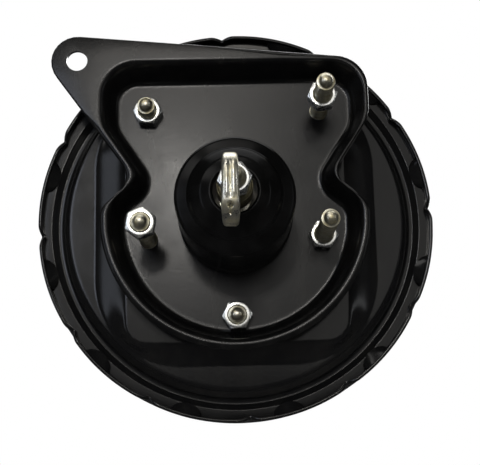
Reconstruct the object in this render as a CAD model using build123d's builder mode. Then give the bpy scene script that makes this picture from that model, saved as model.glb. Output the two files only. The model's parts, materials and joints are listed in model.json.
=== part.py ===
from build123d import *
import math
import os

# A single-diaphragm vacuum brake booster with its firewall bracket, in millimetres.
# The origin is where the booster's axis meets the firewall plane. +Y runs forward along the
# axis to the master cylinder, -Y into the cabin, and +Z is up.

# ---- sheet and clearances ----
bracket_sheet = 2.0
shell_sheet = 1.6
running_gap = 0.1  # between a sliding piece and its guide
soft_gap = 0.3  # between a soft piece and its neighbour
hole_gap = 0.25  # radial, of a stud in its hole

# ---- bracket: a keyhole-shaped dish, its flange on the firewall ----
dish_depth = 15.0  # flange face to floor face
dish_radius = 52.4  # lower circle of the floor
dish_top = 66.2  # floor's straight top edge
dish_half_width = 55.2
dish_corner = 15.0
dish_side = 22.2  # straight side below the upper corner
waist_half_width = 37.0  # corner point of the waist, before its round
waist_height = 16.0
waist_round = 14.0
shoulder_round = 9.0
wall_draft = 4.2  # how far the wall leans out over its depth
lip_width = 4.4  # flange beyond the wall, round the lower circle
corner_lip = 2.4  # flange beyond the wall, at the upper corner
neck_lip = 2.2
ear_x = -71.5
ear_z = 72.5
ear_radius = 12.0
ear_hole = 4.8
ear_top_slope = -5.4  # degrees, of the flange's top edge
ear_side_slope = -54.2
ear_side_end = 87.5  # length of the ear's lower edge, to the waist's corner point
boot_hole_gap = 1.6  # to the shell's neck

# ---- studs and nuts ----
stud_pitch_x = 80.0
stud_pitch_z = 60.0
pattern_height = 21.0  # centre of the stud pattern above the axis
bottom_stud_z = -44.9
thread_radius = 4.0
tip_radius = 3.1
tip_length = 3.6
stud_head_radius = 7.0
stud_head = 2.4
long_stud = 45.5  # floor to tip
short_stud = 17.2
bottom_stud = 10.4
nut_flats = 12.0
nut_height = 6.5
upper_nut_height = 25.5  # floor to the outer face of the nut left part-way on its stud
lower_nut_height = 41.0

# ---- shells ----
rim_radius = 92.6
skirt_edge_y = 22.6
crimp_count = 12
crimp_width = 13.0
crimp_start = 14.5  # degrees
crimp_reach = 4.6
seat_width = 105.0  # raised flat under the bracket
seat_height = 118.0
seat_corner = 9.0
plateau_rise = 5.0
annulus_radius = rim_radius - 14.6
seat_base = 2 * annulus_radius - 24  # square foot of the raised flat's slopes
seat_base_corner = annulus_radius / 2
groove_radius = rim_radius - 9.6
groove_depth = 7.5
flange_inner = rim_radius - 6.1
flange_drop = 5.0  # annulus face to flange face
drum_radius = rim_radius - 5.6
drum_end_y = 60.0
nose_radius = drum_radius - 31
nose_y = 90.0
bead_height = 4.9
front_hole = 16.0
grommet_hole = 8.5

# ---- neck and sliding valve body ----
tube_radius = 17.0
neck_inner = tube_radius + 4
neck_wall = 1.6
neck_end_y = -5.0
seal_length = 7.0
bearing_length = 5.0
retainer_sheet = 1.2
piston_gap = 3.0  # stud heads to diaphragm, at rest
diaphragm_sheet = 1.6
bead_width = 3.1
fold_height = 18.0  # of the diaphragm's rolling fold
plate_sheet = 1.5
plate_radius = rim_radius - 19.6
plate_rim = 10.4
hub_radius = 29.9
hub_lip = 3.0
hub_lip_sheet = 2.2
hub_shelf = 5.0
boss_radius = 15.5
boss_length = 15.0
tube_rear_y = -30.0
filter_bore = tube_radius - 2.5
seat_bore = 11.5
seat_bore_y = -8.0
land_bore = 8.0
plunger_bore = 6.0
land_y = 6.5
land_length = 3.5
disc_radius = 10.0
disc_thickness = 4.0
valve_travel = 2.0
key_width = 14.0
key_sheet = 2.2
key_y = 21.0
key_low_z = -5.0
key_high_z = 16.0
groove_step = 1.2

# ---- boot and push rod ----
boot_radius = neck_inner + neck_wall + 3
boot_wall = 2.0
boot_end_y = -34.0
boot_nose_y = -43.6
collar_radius = 8.0
collar_length = 12.0
rod_radius = 4.0
rod_neck = 2.8
rod_engagement = 8.0
ball_radius = 4.5
ball_gap = 0.1
ball_y = 14.0
spring_stop_y = -21.0
eye_thickness = 7.0
eye_radius = 9.5
eye_drop = 12.0  # pin hole below the rod's axis
eye_y = -76.5
heel_radius = 9.0
heel_drop = 3.0
heel_y = -78.0
pin_radius = 5.0
bushing_wall = 1.0
shank_radius = 5.6
shank_end_y = -64.0

# ---- front side ----
cylinder_stud_pitch = 76.0
cylinder_stud_length = 24.0
output_rod_radius = 5.0
output_rod_reach = 10.0  # past the front face
seal_radius = 15.7
cup_sheet = 1.5
cup_flange = 26.0
return_wire = 3.2
return_turns = 5
check_valve_z = 39.0
hose_radius = 5.0
nipple_length = 18.0
chamber_radius = 4.6
chamber_length = 10.0

# ---- derived places ----
floor_y = dish_depth
seat_y = floor_y + bracket_sheet
seat_back_y = seat_y + shell_sheet
annulus_y = seat_y + plateau_rise
flange_y = annulus_y + flange_drop
flange_back_y = flange_y + shell_sheet
ledge_y = flange_back_y + bead_height
nose_back_y = nose_y - shell_sheet
skirt_inner = rim_radius - shell_sheet
upper_z = pattern_height + stud_pitch_z / 2
lower_z = pattern_height - stud_pitch_z / 2
stud_x = stud_pitch_x / 2
diaphragm_y = seat_back_y + stud_head + piston_gap
plate_y = diaphragm_y + diaphragm_sheet
shelf_y = diaphragm_y + hub_shelf
boss_y = diaphragm_y + boss_length
disc_y = boss_y - disc_thickness - 3.0
collar_y = boot_nose_y - 7.0
cup_y = nose_back_y - 5.0
spring_end_y = nose_back_y - cup_sheet
chamber_y = nose_y - 2.0

os.makedirs("parts", exist_ok=True)


def save(builder, name):
    builder.part.label = name
    export_step(builder.part, f"parts/{name}.step")


def across(y):
    """The plane across the axis at y: its x is the object's x, and its y is the object's z."""
    return Plane(origin=(0, y, 0), x_dir=(1, 0, 0), z_dir=(0, -1, 0))


def section(*corners):
    """A closed section of (radius, y, round) corners, to be turned about the axis."""
    with BuildSketch() as profile:
        with BuildLine():
            FilletPolyline([(c[0], c[1]) for c in corners], radius=[c[2] for c in corners], close=True)
        make_face()
    return profile.sketch


def ring(inner, outer, start, end, edge=0):
    """The section of a plain ring, its corners rounded by edge."""
    return section((inner, start, edge), (outer, start, edge), (outer, end, edge), (inner, end, edge))


def coil(wire, turns, start, end, start_radius, end_radius):
    """A round-wire spring along the axis from start to end, measured over its wire."""
    height = end - start - wire
    pitch = height / turns
    lean = math.degrees(math.atan2(end_radius - start_radius, height))
    path = Helix(pitch, height, start_radius, cone_angle=lean)
    with BuildPart() as spring:
        with BuildSketch(Plane(origin=path @ 0, z_dir=path % 0)):
            Circle(wire / 2)
        sweep(path=path, is_frenet=True)
    upright = spring.part.rotate(Axis.X, -90)
    return upright.moved(Location((0, start + wire / 2, 0)))


def corner(outline, point):
    return outline.vertices().sort_by_distance((point[0], point[1], 0))[0]


def keyhole(y, grow):
    """The dish's outline in the plane at y, grown by the wall's lean."""
    shoulder_angle = math.radians(4)
    shoulder = (dish_radius * math.cos(shoulder_angle), dish_radius * math.sin(shoulder_angle))
    side = (dish_half_width, dish_top - dish_side)
    waist = (waist_half_width, waist_height)
    with BuildSketch(across(y)) as outline:
        with BuildLine():
            Polyline((0, dish_top), (dish_half_width, dish_top), side, waist, shoulder)
            CenterArc((0, 0), dish_radius, 4, -94)
            mirror(about=Plane.YZ)
        make_face()
        for sign in (-1, 1):
            fillet(corner(outline, (sign * dish_half_width, dish_top)), dish_corner)
            fillet(corner(outline, (sign * side[0], side[1])), dish_corner)
            fillet(corner(outline, (sign * waist[0], waist[1])), waist_round)
            fillet(corner(outline, (sign * shoulder[0], shoulder[1])), shoulder_round)
        offset(amount=grow)
    return outline.sketch


def flange_outline(y):
    """The bracket's outer edge: an ear, a straight top edge, a waist and a round lower lip."""
    top = math.radians(ear_top_slope)
    side = math.radians(ear_side_slope)
    normals = Vector(-math.sin(top), math.cos(top)) + Vector(math.sin(side), -math.cos(side))
    ear_point = Vector(ear_x, ear_z) + normals * (ear_radius / (1 - math.cos(top - side)))
    right = dish_half_width + wall_draft + corner_lip
    upper_right = (right, ear_point.Y + math.tan(top) * (right - ear_point.X))
    side_right = (right, dish_top - dish_side)
    waist_right = (waist_half_width + wall_draft + neck_lip, waist_height)
    waist_left = (
        ear_point.X + math.cos(side) * ear_side_end,
        ear_point.Y + math.sin(side) * ear_side_end,
    )
    lip = dish_radius + wall_draft + lip_width
    shoulder = (lip * math.cos(math.radians(3)), lip * math.sin(math.radians(3)))
    far_shoulder = (-shoulder[0], shoulder[1])
    ear = (ear_point.X, ear_point.Y)
    with BuildSketch(across(y)) as outline:
        with BuildLine():
            Polyline(far_shoulder, waist_left, ear, upper_right, side_right, waist_right, shoulder)
            CenterArc((0, 0), lip, 3, -186)
        make_face()
        fillet(corner(outline, ear), ear_radius)
        fillet(corner(outline, upper_right), dish_corner + wall_draft)
        fillet(corner(outline, side_right), dish_corner)
        fillet(corner(outline, waist_right), waist_round - wall_draft)
        fillet(corner(outline, waist_left), waist_round - wall_draft)
        fillet(corner(outline, shoulder), shoulder_round)
        fillet(corner(outline, far_shoulder), shoulder_round)
    return outline.sketch


stud_places = [(-stud_x, upper_z), (stud_x, upper_z), (-stud_x, lower_z), (stud_x, lower_z)]
stud_holes = stud_places + [(0, bottom_stud_z)]

# ======== bracket ========
with BuildPart() as mounting_bracket:
    extrude(flange_outline(bracket_sheet), amount=bracket_sheet)
    loft([keyhole(0, wall_draft + bracket_sheet), keyhole(seat_y, bracket_sheet)])
    loft([keyhole(0, wall_draft), keyhole(floor_y, wall_draft / dish_depth)], mode=Mode.SUBTRACT)
    flange_face = faces().filter_by(Axis.Y).sort_by(Axis.Y)[0]
    fillet(flange_face.inner_wires()[0].edges(), 1.8)
    floor_face = faces().filter_by(Axis.Y).filter_by(lambda f: abs(f.center().Y - floor_y) < 0.1)[0]
    fillet(floor_face.outer_wire().edges(), 1.5)
    with BuildSketch(across(seat_y)):
        Circle(neck_inner + neck_wall + boot_hole_gap)
        with Locations(*stud_holes):
            Circle(thread_radius + hole_gap)
    extrude(amount=dish_depth, mode=Mode.SUBTRACT)
    with BuildSketch(across(seat_y)):
        with Locations((ear_x, ear_z)):
            Circle(ear_hole)
    extrude(amount=2 * dish_depth, mode=Mode.SUBTRACT)
save(mounting_bracket, "mounting_bracket")


# ======== rear shell ========
with BuildPart() as rear_shell:
    outer_r = skirt_inner - running_gap
    groove_y = annulus_y + groove_depth
    back = annulus_y + shell_sheet
    pan = section(
        (neck_inner, annulus_y, 0), (annulus_radius, annulus_y, 2), (groove_radius - 1, groove_y, 0.8),
        (groove_radius + 1, groove_y, 0.8), (flange_inner, flange_y, 0.8), (outer_r, flange_y, 0),
        (outer_r, flange_back_y, 0), (flange_inner + 0.8, flange_back_y, 0.8),
        (groove_radius + 1.8, groove_y + shell_sheet, 0.8),
        (groove_radius - 1.8, groove_y + shell_sheet, 0.8),
        (annulus_radius - 0.8, back, 2), (neck_inner, back, 0),
    )
    revolve(pan, axis=Axis.Y)
    for top_y, mode in ((seat_y, Mode.ADD), (seat_back_y, Mode.SUBTRACT)):
        with BuildSketch(across(top_y + plateau_rise)):
            RectangleRounded(seat_base, seat_base, seat_base_corner)
        with BuildSketch(across(top_y)):
            RectangleRounded(seat_width, seat_height, seat_corner)
        loft(mode=mode)
    neck_outer = neck_inner + neck_wall
    neck = section(
        (neck_inner, seat_back_y, 0), (neck_inner, neck_end_y + neck_wall, 0),
        (tube_radius + 1, neck_end_y + neck_wall, 0), (tube_radius + 1, neck_end_y, 0),
        (neck_outer, neck_end_y, 2), (neck_outer, seat_back_y, 0),
    )
    revolve(neck, axis=Axis.Y)
    revolve(ring(0, neck_inner, seat_y - 1, seat_back_y + 1), axis=Axis.Y, mode=Mode.SUBTRACT)
    with BuildSketch(across(annulus_y)):
        with Locations(*stud_holes):
            Circle(thread_radius + hole_gap)
    extrude(amount=2 * plateau_rise, mode=Mode.SUBTRACT)
save(rear_shell, "rear_shell")

# ======== front shell, crimped over the rear shell's flange ========
with BuildPart() as front_shell:
    outside = section(
        (0, skirt_edge_y, 0), (rim_radius, skirt_edge_y, 0), (rim_radius, ledge_y + shell_sheet, 2.5),
        (drum_radius, ledge_y + shell_sheet, 1), (drum_radius, drum_end_y, 16), (nose_radius, nose_y, 9),
        (0, nose_y, 0),
    )
    revolve(outside, axis=Axis.Y)
    drum_inner = drum_radius - shell_sheet
    inside = section(
        (0, skirt_edge_y - 1, 0), (skirt_inner, skirt_edge_y - 1, 0), (skirt_inner, ledge_y, 1),
        (drum_inner, ledge_y, 2.5), (drum_inner, drum_end_y, 14.4),
        (nose_radius - 0.8, nose_back_y, 7.4), (0, nose_back_y, 0),
    )
    revolve(inside, axis=Axis.Y, mode=Mode.SUBTRACT)
    with BuildSketch(across(flange_y)):
        with PolarLocations(skirt_inner + 0.5 - crimp_reach / 2, crimp_count, start_angle=crimp_start):
            RectangleRounded(crimp_reach, crimp_width, 1.5)
    extrude(amount=shell_sheet)
    with BuildSketch(across(nose_y)):
        Circle(front_hole)
        with Locations((-cylinder_stud_pitch / 2, 0), (cylinder_stud_pitch / 2, 0)):
            Circle(thread_radius + hole_gap)
        with Locations((0, check_valve_z)):
            Circle(grommet_hole)
    extrude(amount=3 * shell_sheet, mode=Mode.SUBTRACT)
save(front_shell, "front_shell")


# ======== studs and nuts ========
def stud(place, length):
    """A headed weld stud with a plain dog point, its length counted from the bracket's floor."""
    tip_y = floor_y - length
    with BuildPart() as piece:
        revolve(ring(0, stud_head_radius, seat_back_y, seat_back_y + stud_head, 0), axis=Axis.Y)
        revolve(ring(0, thread_radius + hole_gap, floor_y, seat_back_y), axis=Axis.Y)
        revolve(ring(0, thread_radius, tip_y + tip_length, floor_y), axis=Axis.Y)
        revolve(ring(0, tip_radius, tip_y, tip_y + tip_length), axis=Axis.Y)
        chamfer(edges().filter_by(GeomType.CIRCLE).sort_by(Axis.Y)[0], 0.6)
    return piece.part.moved(Location((place[0], 0, place[1])))


def hex_nut(place, face_y):
    """A hexagon nut, its outer face at face_y, with its corners chamfered round."""
    with BuildPart() as piece:
        with BuildSketch(across(face_y + nut_height)):
            RegularPolygon(nut_flats / 2, 6, major_radius=False)
        extrude(amount=nut_height)
        cone = section(
            (0, face_y, 0), (nut_flats / 2 - 0.2, face_y, 0), (nut_flats / 2 + 1.2, face_y + 0.8, 0),
            (nut_flats / 2 + 1.2, face_y + nut_height - 0.8, 0),
            (nut_flats / 2 - 0.2, face_y + nut_height, 0), (0, face_y + nut_height, 0),
        )
        revolve(cone, axis=Axis.Y, mode=Mode.INTERSECT)
        revolve(ring(0, thread_radius, face_y, face_y + nut_height), axis=Axis.Y, mode=Mode.SUBTRACT)
        rims = edges().filter_by(GeomType.CIRCLE).filter_by(lambda e: abs(e.radius - thread_radius) < 0.01)
        chamfer(rims, 0.6)
    return piece.part.moved(Location((place[0], 0, place[1])))


upper_left, upper_right, lower_left, lower_right = stud_places
with BuildPart() as firewall_studs:
    for place in (upper_right, lower_left, lower_right):
        add(stud(place, long_stud))
save(firewall_studs, "firewall_studs")

with BuildPart() as bracket_studs:
    add(stud(upper_left, short_stud))
    add(stud((0, bottom_stud_z), bottom_stud))
save(bracket_studs, "bracket_studs")

with BuildPart() as bracket_nuts:
    for place in (upper_left, lower_right, (0, bottom_stud_z)):
        add(hex_nut(place, floor_y - nut_height))
save(bracket_nuts, "bracket_nuts")

with BuildPart() as firewall_nuts:
    add(hex_nut(upper_right, floor_y - upper_nut_height))
    add(hex_nut(lower_left, floor_y - lower_nut_height))
save(firewall_nuts, "firewall_nuts")


# ======== neck of the rear shell: seal, guide ring and retainer ========
neck_floor_y = neck_end_y + neck_wall
guide_y = neck_floor_y + seal_length + running_gap
with BuildPart() as neck_seal:
    inner = tube_radius + running_gap
    outer = neck_inner - running_gap
    lip = section(
        (inner, neck_floor_y, 0.3), (outer, neck_floor_y, 0.3), (outer, neck_floor_y + seal_length, 0.3),
        (outer - 1, neck_floor_y + seal_length, 0.3), (outer - 1.4, neck_floor_y + 3, 0.3),
        (inner + 1.2, neck_floor_y + 3, 0.3), (inner + 0.8, neck_floor_y + seal_length, 0.3),
        (inner, neck_floor_y + seal_length, 0),
    )
    revolve(lip, axis=Axis.Y)
save(neck_seal, "neck_seal")

with BuildPart() as neck_guide:
    revolve(ring(tube_radius + running_gap, neck_inner, guide_y, guide_y + bearing_length), axis=Axis.Y)
save(neck_guide, "neck_guide")

with BuildPart() as seal_retainer:
    retainer_y = guide_y + bearing_length
    flanged = section(
        (tube_radius + 0.8, retainer_y, 0), (neck_inner, retainer_y, 0),
        (neck_inner, retainer_y + 4, 0), (neck_inner - retainer_sheet, retainer_y + 4, 0),
        (neck_inner - retainer_sheet, retainer_y + retainer_sheet, 0.5),
        (tube_radius + 0.8, retainer_y + retainer_sheet, 0),
    )
    revolve(flanged, axis=Axis.Y)
save(seal_retainer, "seal_retainer")

# ======== power piston: valve body, plate and diaphragm ========
with BuildPart() as valve_body:
    land_stop_y = land_y + land_length + valve_travel + running_gap
    body = section(
        (filter_bore, tube_rear_y, 0), (tube_radius, tube_rear_y, 0.8),
        (tube_radius, diaphragm_y - hub_lip_sheet, 2),
        (hub_radius + hub_lip, diaphragm_y - hub_lip_sheet, 0.6), (hub_radius + hub_lip, diaphragm_y, 0),
        (hub_radius, diaphragm_y, 0), (hub_radius, shelf_y, 0.5),
        (boss_radius + 1, shelf_y, 1), (boss_radius, boss_y, 1), (disc_radius, boss_y, 0),
        (disc_radius, disc_y, 0), (plunger_bore, disc_y, 0), (plunger_bore, land_stop_y, 0),
        (land_bore, land_stop_y, 0), (land_bore, land_y, 0), (land_bore + 1, land_y - 0.6, 0),
        (land_bore + 1.8, land_y + 0.6, 0), (seat_bore, land_y + 0.6, 0), (seat_bore, seat_bore_y, 0),
        (filter_bore, seat_bore_y, 0),
    )
    revolve(body, axis=Axis.Y)
    with BuildSketch(across(key_y + key_sheet + running_gap)):
        with Locations((0, key_low_z - 1)):
            Rectangle(key_width + 2 * running_gap, 40, align=(Align.CENTER, Align.MIN))
    extrude(amount=key_sheet + 2 * running_gap, mode=Mode.SUBTRACT)
save(valve_body, "valve_body")

with BuildPart() as stop_key:
    groove_stem = plunger_bore - running_gap - groove_step
    with BuildSketch(across(key_y + key_sheet)):
        with Locations((0, (key_low_z + key_high_z) / 2)):
            Rectangle(key_width, key_high_z - key_low_z)
        SlotCenterToCenter(4 * groove_stem, 2 * (groove_stem + running_gap), rotation=90, mode=Mode.SUBTRACT)
        with Locations((0, groove_stem + 8)):
            Rectangle(key_width, 7)
    extrude(amount=key_sheet)
save(stop_key, "stop_key")

with BuildPart() as support_plate:
    dish = section(
        (hub_radius + running_gap, plate_y, 0), (plate_radius, plate_y, 2.5),
        (plate_radius, plate_y + plate_rim, 0), (plate_radius - plate_sheet, plate_y + plate_rim, 0),
        (plate_radius - plate_sheet, plate_y + plate_sheet, 1),
        (hub_radius + running_gap, plate_y + plate_sheet, 0),
    )
    revolve(dish, axis=Axis.Y)
save(support_plate, "support_plate")

with BuildPart() as diaphragm:
    fold_inner = plate_radius + soft_gap
    fold_outer = drum_radius - shell_sheet - 2.4
    fold_y = diaphragm_y + fold_height
    bead_y = flange_back_y + running_gap
    bead_top = ledge_y - running_gap
    web_y = bead_top - diaphragm_sheet
    bead_outer = skirt_inner - soft_gap
    sheet = diaphragm_sheet
    rolled = section(
        (hub_radius + running_gap, diaphragm_y, 0), (fold_inner + sheet, diaphragm_y, 2.5),
        (fold_inner + sheet, fold_y - sheet, 1.2), (fold_outer - sheet, fold_y - sheet, 1.2),
        (fold_outer - sheet, web_y, 1), (bead_outer - bead_width, web_y, 0.3),
        (bead_outer - bead_width, bead_y, 0.5), (bead_outer, bead_y, 0.8), (bead_outer, bead_top, 0.8),
        (fold_outer, bead_top, 0.6), (fold_outer, fold_y, 2.8), (fold_inner, fold_y, 2.8),
        (fold_inner, diaphragm_y + sheet, 1.5), (hub_radius + running_gap, diaphragm_y + sheet, 0),
    )
    revolve(rolled, axis=Axis.Y)
save(diaphragm, "diaphragm")

with BuildPart() as reaction_disc:
    revolve(ring(0, disc_radius - running_gap, disc_y, disc_y + disc_thickness, 0), axis=Axis.Y)
save(reaction_disc, "reaction_disc")

with BuildPart() as output_rod:
    head_y = disc_y + disc_thickness
    stem = section(
        (0, head_y, 0), (disc_radius - running_gap, head_y, 0),
        (disc_radius - running_gap, head_y + 2.6, 0.5),
        (output_rod_radius, head_y + 2.6, 1), (output_rod_radius, nose_y + output_rod_reach - 4, 0),
        (output_rod_radius - 1.5, nose_y + output_rod_reach - 3, 0),
        (output_rod_radius - 1.5, nose_y + output_rod_reach, 1), (0, nose_y + output_rod_reach, 0),
    )
    revolve(stem, axis=Axis.Y)
save(output_rod, "output_rod")

# ======== control valve inside the tube ========
with BuildPart() as valve_plunger:
    stem_radius = plunger_bore - running_gap
    mouth = math.sqrt(ball_radius**2 - 3.2**2)
    spindle = section(
        (0, disc_y - valve_travel - 0.2, 0), (stem_radius, disc_y - valve_travel - 0.2, 0.5),
        (stem_radius, key_y + key_sheet + 0.2, 0), (groove_stem, key_y + key_sheet + 0.2, 0),
        (groove_stem, key_y - valve_travel - 0.2, 0), (stem_radius, key_y - valve_travel - 0.2, 0),
        (stem_radius, land_y + land_length, 0),
        (land_bore - 0.5, land_y + land_length - 0.2, 0), (land_bore - 0.5, land_y, 0), (0, land_y, 0),
    )
    revolve(spindle, axis=Axis.Y)
    socket = section(
        (0, land_y - 1, 0), (mouth + 0.9, land_y - 1, 0), (mouth, ball_y - 3.4, 0), (0, ball_y - 3.4, 0),
    )
    revolve(socket, axis=Axis.Y, mode=Mode.SUBTRACT)
    with Locations((0, ball_y, 0)):
        Sphere(ball_radius + ball_gap, mode=Mode.SUBTRACT)
save(valve_plunger, "valve_plunger")

with BuildPart() as poppet_valve:
    face_y = land_y - 0.8
    skirt = section(
        (5.8, face_y - 2, 0.3), (5.8, face_y, 0.3), (seat_bore - soft_gap, face_y, 0.3),
        (seat_bore - soft_gap, seat_bore_y - 0.1, 0), (filter_bore - soft_gap, seat_bore_y - 0.1, 0.4),
        (filter_bore - soft_gap, seat_bore_y - 2.4, 0.4), (seat_bore - 1.7, seat_bore_y - 2.4, 0),
        (seat_bore - 1.7, face_y - 2, 0.3),
    )
    revolve(skirt, axis=Axis.Y)
save(poppet_valve, "poppet_valve")

cup_face_y = seat_bore_y - 2.5
with BuildPart() as poppet_retainer:
    cup = section(
        (6.2, cup_face_y, 0), (filter_bore, cup_face_y, 0), (filter_bore, cup_face_y - 5, 0),
        (filter_bore - 1, cup_face_y - 5, 0), (filter_bore - 1, cup_face_y - 1, 0.5),
        (6.2, cup_face_y - 1, 0),
    )
    revolve(cup, axis=Axis.Y)
save(poppet_retainer, "poppet_retainer")

poppet_spring = coil(1.0, 4, cup_face_y, face_y - 2, 8.2, 8.2)
poppet_spring.label = "poppet_spring"
export_step(poppet_spring, "parts/poppet_spring.step")

rod_spring = coil(1.2, 3, spring_stop_y, cup_face_y - 1, 5.9, 10.0)
rod_spring.label = "rod_spring"
export_step(rod_spring, "parts/rod_spring.step")

with BuildPart() as air_filter:
    felt = ring(rod_radius + 3, filter_bore - running_gap, tube_rear_y + 0.5, tube_rear_y + 6.5)
    revolve(felt, axis=Axis.Y)
save(air_filter, "air_filter")

# ======== push rod, its collar, lock nut and eye ========
with BuildPart() as input_rod:
    rod_end_y = shank_end_y - rod_engagement
    shaft = section(
        (0, rod_end_y, 0), (rod_radius, rod_end_y, 0.6), (rod_radius, spring_stop_y - 1.6, 0),
        (rod_radius + 3, spring_stop_y - 1.6, 0), (rod_radius + 3, spring_stop_y, 0),
        (rod_radius, spring_stop_y, 0), (rod_radius, 0, 0), (rod_neck, 2, 0), (rod_neck, ball_y, 0),
        (0, ball_y, 0),
    )
    revolve(shaft, axis=Axis.Y)
    with Locations((0, ball_y, 0)):
        Sphere(ball_radius)
save(input_rod, "input_rod")

with BuildPart() as rod_collar:
    revolve(ring(rod_radius, collar_radius, collar_y, collar_y + collar_length, 0.8), axis=Axis.Y)
save(rod_collar, "rod_collar")

with BuildPart() as lock_nut:
    add(hex_nut((0, 0), shank_end_y))
save(lock_nut, "lock_nut")

with BuildPart() as rod_end:
    with BuildSketch(Plane.YZ.offset(-eye_thickness / 2)):
        with Locations((heel_y, -heel_drop)):
            Circle(heel_radius)
        with Locations((eye_y, -eye_drop)):
            Circle(eye_radius)
        make_hull()
    extrude(amount=eye_thickness)
    rim = faces().filter_by(Axis.X).edges()
    fillet(rim, 1.8)
    revolve(ring(0, shank_radius, heel_y, shank_end_y, 0), axis=Axis.Y)
    chamfer(faces().sort_by(Axis.Y)[-1].edges(), 0.6)
    rod_socket = ring(0, rod_radius, shank_end_y - rod_engagement, shank_end_y + 1)
    revolve(rod_socket, axis=Axis.Y, mode=Mode.SUBTRACT)
    with BuildSketch(Plane.YZ.offset(-eye_thickness)):
        with Locations((eye_y, -eye_drop)):
            Circle(pin_radius + bushing_wall)
    extrude(amount=2 * eye_thickness, mode=Mode.SUBTRACT)
save(rod_end, "rod_end")

with BuildPart() as eye_bushing:
    with BuildSketch(Plane.YZ.offset(-eye_thickness / 2 - 0.4)):
        with Locations((eye_y, -eye_drop)):
            Circle(pin_radius + bushing_wall)
            Circle(pin_radius, mode=Mode.SUBTRACT)
    extrude(amount=eye_thickness + 0.8)
save(eye_bushing, "eye_bushing")

# ======== rubber boot over the neck ========
with BuildPart() as boot:
    root = neck_inner + neck_wall + soft_gap
    mouth = collar_radius + soft_gap
    inner = boot_radius - boot_wall
    bellows = section(
        (root, floor_y - soft_gap, 0), (boot_radius, floor_y - soft_gap, 0.6), (boot_radius, boot_end_y, 2.2),
        (boot_radius - 6, boot_end_y - 0.6, 1), (14.5, boot_nose_y + 1.6, 5), (10.6, boot_nose_y, 0.8),
        (mouth, boot_nose_y, 0.6),
        (mouth, boot_nose_y + 3.2, 0.6), (13, boot_nose_y + 4.2, 3), (boot_radius - 7.4, boot_end_y + 1.6, 1),
        (inner, boot_end_y + 2, 1.5), (inner, floor_y - 7, 0.4), (root, floor_y - 7, 0),
    )
    revolve(bellows, axis=Axis.Y)
    for rib in range(3):
        rib_y = floor_y - 4 - 3 * rib
        revolve(ring(boot_radius - 0.5, boot_radius + 0.5, rib_y, rib_y + 1.0, 0.3), axis=Axis.Y)
save(boot, "boot")

# ======== front side: return spring, seal, studs and check valve ========
return_spring = coil(return_wire, return_turns, shelf_y, spring_end_y, 20.5, 22.5)
return_spring.label = "return_spring"
export_step(return_spring, "parts/return_spring.step")

with BuildPart() as front_seal:
    bore = output_rod_radius + running_gap
    lips = section(
        (bore, cup_y + cup_sheet, 0.3), (seal_radius, cup_y + cup_sheet, 0.3),
        (seal_radius, nose_y + 1.5, 0.6), (seal_radius - 3, nose_y + 1.5, 0.6), (seal_radius - 4, nose_y - 1, 1), (bore + 2.5, nose_y - 1, 1),
        (bore + 1.5, nose_y + 1, 0.3), (bore, nose_y + 1, 0.3),
    )
    revolve(lips, axis=Axis.Y)
save(front_seal, "front_seal")

with BuildPart() as seal_cup:
    cup_outer = seal_radius + running_gap + cup_sheet
    cup = section(
        (output_rod_radius + 1, cup_y, 0), (cup_outer, cup_y, 1.5), (cup_outer, spring_end_y, 0.5),
        (cup_flange, spring_end_y, 0), (cup_flange, nose_back_y, 0), (seal_radius + running_gap, nose_back_y, 0),
        (seal_radius + running_gap, cup_y + cup_sheet, 0), (output_rod_radius + 1, cup_y + cup_sheet, 0),
    )
    revolve(cup, axis=Axis.Y)
save(seal_cup, "seal_cup")

with BuildPart() as cylinder_studs:
    for sign in (-1, 1):
        with BuildPart(mode=Mode.PRIVATE) as piece:
            revolve(ring(0, stud_head_radius, nose_back_y - stud_head, nose_back_y), axis=Axis.Y)
            revolve(ring(0, thread_radius + hole_gap, nose_back_y, nose_y), axis=Axis.Y)
            revolve(ring(0, thread_radius, nose_y, nose_y + cylinder_stud_length), axis=Axis.Y)
            chamfer(edges().filter_by(GeomType.CIRCLE).sort_by(Axis.Y)[-1], 0.8)
        add(piece.part.moved(Location((sign * cylinder_stud_pitch / 2, 0, 0))))
save(cylinder_studs, "cylinder_studs")


def at_check_valve(profile, name):
    """Turns a section about the check valve's own axis and writes it."""
    with BuildPart() as piece:
        revolve(profile, axis=Axis.Y)
    placed = piece.part.moved(Location((0, 0, check_valve_z)))
    placed.label = name
    export_step(placed, f"parts/{name}.step")


grommet_bore = chamber_radius + 1.6
grommet = section(
    (grommet_bore, nose_back_y - 3, 0.3), (grommet_hole + 2, nose_back_y - 3, 1),
    (grommet_hole + 2, nose_back_y, 0),
    (grommet_hole, nose_back_y, 0), (grommet_hole, nose_y, 0), (grommet_hole + 2.5, nose_y, 0),
    (grommet_hole + 2.5, nose_y + 3, 1), (grommet_bore, nose_y + 3, 0.3),
)
at_check_valve(grommet, "check_valve_grommet")

chamber_top = chamber_y + chamber_length
nipple_y = chamber_top + 2
check_body = section(
    (3, nose_back_y - 5, 0), (grommet_bore - 0.8, nose_back_y - 5, 0), (grommet_bore, nose_back_y - 3.5, 0),
    (grommet_bore, nose_y + 3, 0), (grommet_hole + 3, nose_y + 3, 0.5), (grommet_hole + 3, nose_y + 5, 0.5),
    (grommet_bore + 0.8, nose_y + 5, 0.5), (grommet_bore + 0.8, nipple_y, 0.5), (hose_radius, nipple_y, 0),
    (hose_radius, nipple_y + nipple_length, 0.8), (3, nipple_y + nipple_length, 0), (3, chamber_top, 0),
    (chamber_radius, chamber_top, 0), (chamber_radius, chamber_y, 0), (3, chamber_y, 0),
)
at_check_valve(check_body, "check_valve_body")

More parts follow.
